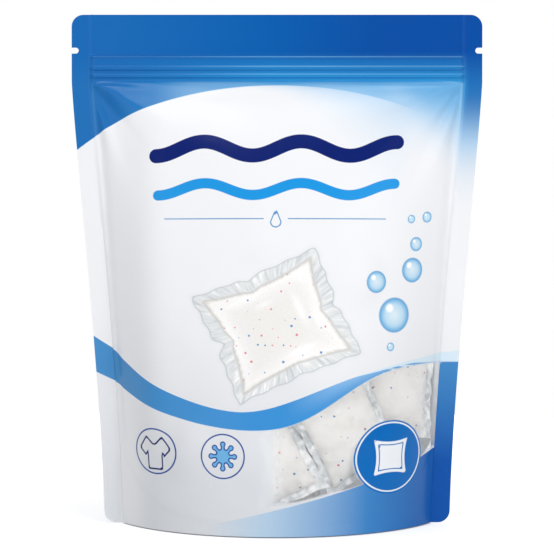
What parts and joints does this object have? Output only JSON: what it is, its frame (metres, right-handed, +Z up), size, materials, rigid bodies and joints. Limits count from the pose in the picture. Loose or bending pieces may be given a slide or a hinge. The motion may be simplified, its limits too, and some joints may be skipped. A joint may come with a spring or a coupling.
{
  "type": "laundry powder bag",
  "caption": "Sealed stand-up film pouch with a bottom gusset, press-to-close zip, tear notches and a clear window, filled with square laundry powder pods.",
  "frame": {"origin": "on the table under the middle of the pouch", "axes": "+Z up along the pouch's height, the front faces -Y, +X to the right of someone looking at the front"},
  "size_m": [0.21, 0.094, 0.26],
  "materials": {
    "printed_film": "white and blue printed laminate film with a clear window",
    "gusset_film": "blue printed laminate film",
    "zip_plastic": "translucent polythene zip profile",
    "pod": "off-white powder in clear soluble film"
  },
  "bodies": {
    "root": {"front_panel": "printed_film", "back_panel": "printed_film", "bottom_gusset": "gusset_film", "zip_front_track": "zip_plastic", "zip_back_track": "zip_plastic", "pod_01": "pod", "pod_02": "pod", "pod_03": "pod", "pod_04": "pod", "pod_05": "pod", "pod_06": "pod", "pod_07": "pod", "pod_08": "pod", "pod_09": "pod", "pod_10": "pod", "pod_11": "pod", "pod_12": "pod", "pod_13": "pod", "pod_14": "pod", "pod_15": "pod", "pod_16": "pod", "pod_17": "pod", "pod_18": "pod", "pod_19": "pod", "pod_20": "pod", "pod_21": "pod", "pod_22": "pod", "pod_23": "pod", "pod_24": "pod", "pod_25": "pod", "pod_26": "pod", "pod_27": "pod", "pod_28": "pod", "pod_29": "pod", "pod_30": "pod"}
  },
  "joints": []
}
